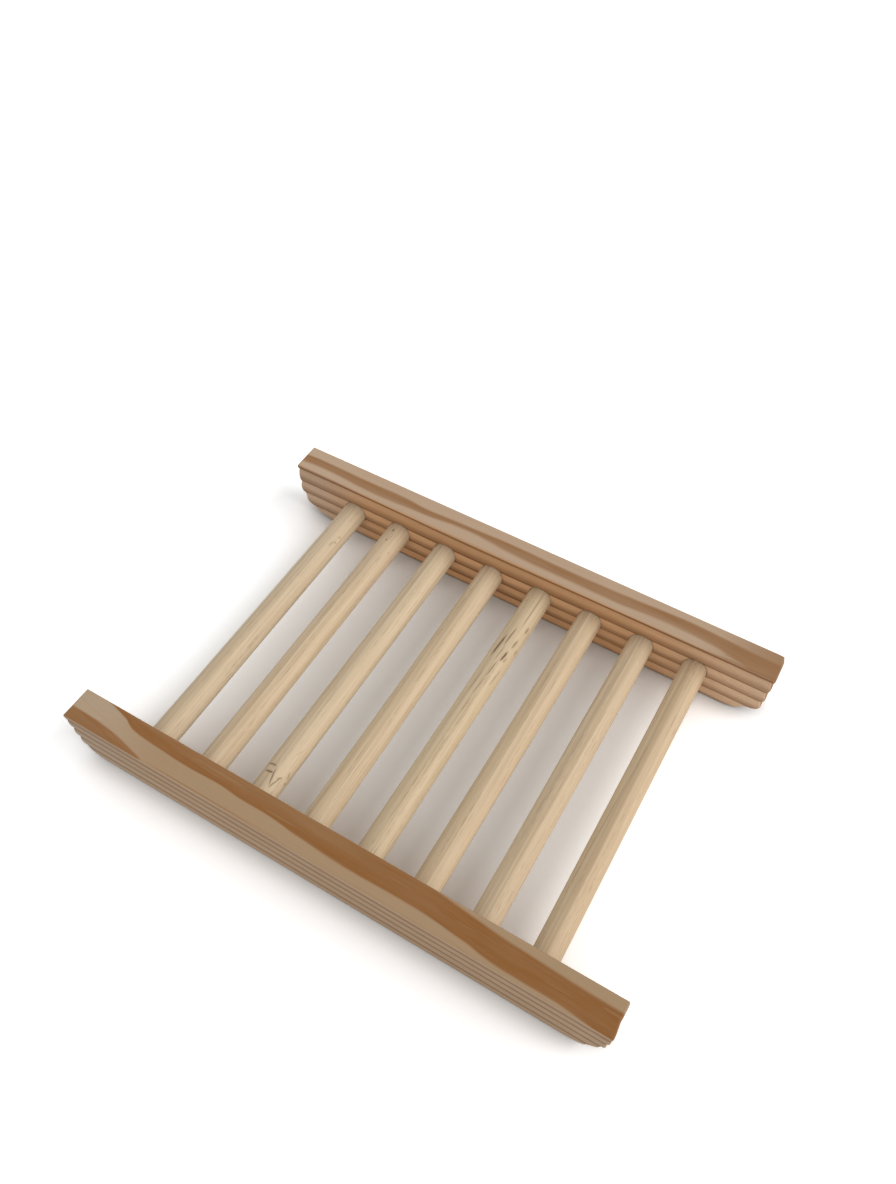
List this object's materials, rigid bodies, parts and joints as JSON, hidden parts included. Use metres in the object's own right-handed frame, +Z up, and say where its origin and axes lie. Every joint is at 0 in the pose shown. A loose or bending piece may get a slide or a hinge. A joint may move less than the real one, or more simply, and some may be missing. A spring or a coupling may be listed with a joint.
{
  "type": "soap dish",
  "caption": "Slatted wooden soap dish: reeded side rails joined by a row of round rods glued in blind sockets.",
  "frame": {"origin": "middle of the dish on the surface that it stands on", "axes": "+X along the rails, +Y from the front rail to the back rail along the rods, +Z up"},
  "size_m": [0.125, 0.09, 0.016],
  "materials": {
    "rail_wood": "bare planed softwood, matt, brown grain bands",
    "rod_bamboo": "bare bamboo rod, fine straight fibre, soft sheen"
  },
  "bodies": {
    "root": {"rail_front": "rail_wood", "rail_back": "rail_wood", "rod_1": "rod_bamboo", "rod_2": "rod_bamboo", "rod_3": "rod_bamboo", "rod_4": "rod_bamboo", "rod_5": "rod_bamboo", "rod_6": "rod_bamboo", "rod_7": "rod_bamboo", "rod_8": "rod_bamboo"}
  },
  "joints": []
}
